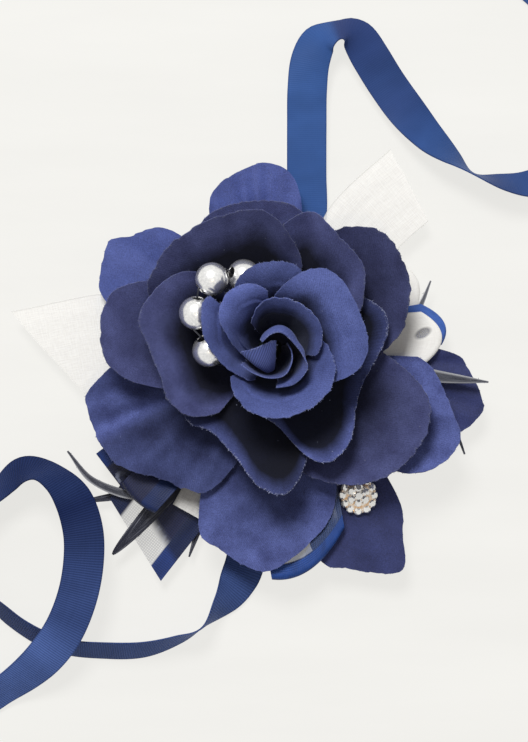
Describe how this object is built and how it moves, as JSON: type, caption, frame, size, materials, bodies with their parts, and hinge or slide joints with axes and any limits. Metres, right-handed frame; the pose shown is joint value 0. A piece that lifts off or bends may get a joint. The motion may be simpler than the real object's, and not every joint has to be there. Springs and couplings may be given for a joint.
{
  "type": "wrist corsage",
  "caption": "Fabric rose wrist corsage with leaves, quills, organza bows, strung pearls and a crystal cluster on a felt pad, tied on with a ribbon.",
  "frame": {"origin": "centre of the felt pad's underside, on the axis of the rose", "axes": "+Z out of the wrist, along the axis of the rose; +Y along the wrist side where the right ribbon tail leaves; +X to the right of that, seen from above"},
  "size_m": [0.1761, 0.1948, 0.0401],
  "materials": {
    "petal_cloth_inner": "matt woven cloth, brighter blue",
    "petal_cloth_middle": "matt woven cloth, deep navy",
    "petal_cloth_outer": "matt woven cloth, navy",
    "leaf_cloth": "satin woven cloth, navy",
    "navy_organza": "sheer organza with satin edges",
    "white_organza": "sheer white organza",
    "quill": "dark, slightly shiny",
    "tie_ribbon": "fine ribbed ribbon with a satin sheen",
    "felt": "matt felt",
    "glue": "set hot glue",
    "receptacle_plastic": "moulded",
    "wire": "thin bright wire",
    "pearl": "silver pearl lacquer",
    "crystal": "cut crystals in a bright metal setting"
  },
  "bodies": {
    "corsage": {"bud_heart": "petal_cloth_inner", "bud_petal_inner": "petal_cloth_inner", "bud_petal_outer": "petal_cloth_inner", "inner_petal_top": "petal_cloth_inner", "inner_petal_upper_left": "petal_cloth_inner", "inner_petal_right": "petal_cloth_inner", "inner_petal_bottom": "petal_cloth_inner", "inner_petal_left": "petal_cloth_inner", "inner_petal_back": "petal_cloth_inner", "middle_petal_top_left": "petal_cloth_middle", "middle_petal_top_right": "petal_cloth_middle", "middle_petal_right": "petal_cloth_middle", "middle_petal_left": "petal_cloth_middle", "lower_petal_bottom": "petal_cloth_middle", "lower_petal_top_right": "petal_cloth_middle", "lower_petal_bottom_right": "petal_cloth_middle", "lower_petal_left": "petal_cloth_middle", "lower_petal_top": "petal_cloth_middle", "outer_petal_left": "petal_cloth_outer", "outer_petal_bottom": "petal_cloth_outer", "outer_petal_right": "petal_cloth_outer", "leaf_top": "leaf_cloth", "leaf_upper_left": "leaf_cloth", "leaf_right": "leaf_cloth", "leaf_lower_right": "leaf_cloth", "white_tail_left": "white_organza", "white_tail_upper_right": "white_organza", "white_tail_lower": "white_organza", "navy_tail_lower_left": "navy_organza", "white_loop_right": "white_organza", "white_loop_upper_right": "white_organza", "navy_loop_lower_left": "navy_organza", "navy_loop_front": "navy_organza", "navy_loop_bottom": "navy_organza", "navy_loop_right": "navy_organza", "quill_left_high": "quill", "quill_left_middle": "quill", "quill_left_low": "quill", "quill_left_inner": "quill", "quill_right_high": "quill", "quill_right_middle": "quill", "quill_right_low": "quill", "glue_hub": "glue", "receptacle": "receptacle_plastic", "pearl_wire": "wire", "crystal_cluster": "crystal", "felt_pad": "felt", "ribbon_band": "tie_ribbon", "ribbon_tail_right": "tie_ribbon", "ribbon_tail_left": "tie_ribbon"},
    "pearl_1_body": {"pearl_1": "pearl"},
    "pearl_2_body": {"pearl_2": "pearl"},
    "pearl_3_body": {"pearl_3": "pearl"},
    "pearl_4_body": {"pearl_4": "pearl"}
  },
  "joints": [
    {"name": "pearl_1_spin", "type": "hinge", "parent": "corsage", "child": "pearl_1_body", "pos_m": [-0.00691, 0.0174, 0.02819], "axis": [-0.7912, 0.1885, 0.5818], "continuous": true},
    {"name": "pearl_2_spin", "type": "hinge", "parent": "corsage", "child": "pearl_2_body", "pos_m": [-0.01442, 0.01649, 0.03124], "axis": [-0.7855, -0.6093, 0.1086], "continuous": true},
    {"name": "pearl_3_spin", "type": "hinge", "parent": "corsage", "child": "pearl_3_body", "pos_m": [-0.01835, 0.00846, 0.02977], "axis": [-0.1171, -0.9364, -0.3308], "continuous": true},
    {"name": "pearl_4_spin", "type": "hinge", "parent": "corsage", "child": "pearl_4_body", "pos_m": [-0.0154, -0.00043, 0.02472], "axis": [0.3994, -0.7664, -0.5032], "continuous": true}
  ]
}
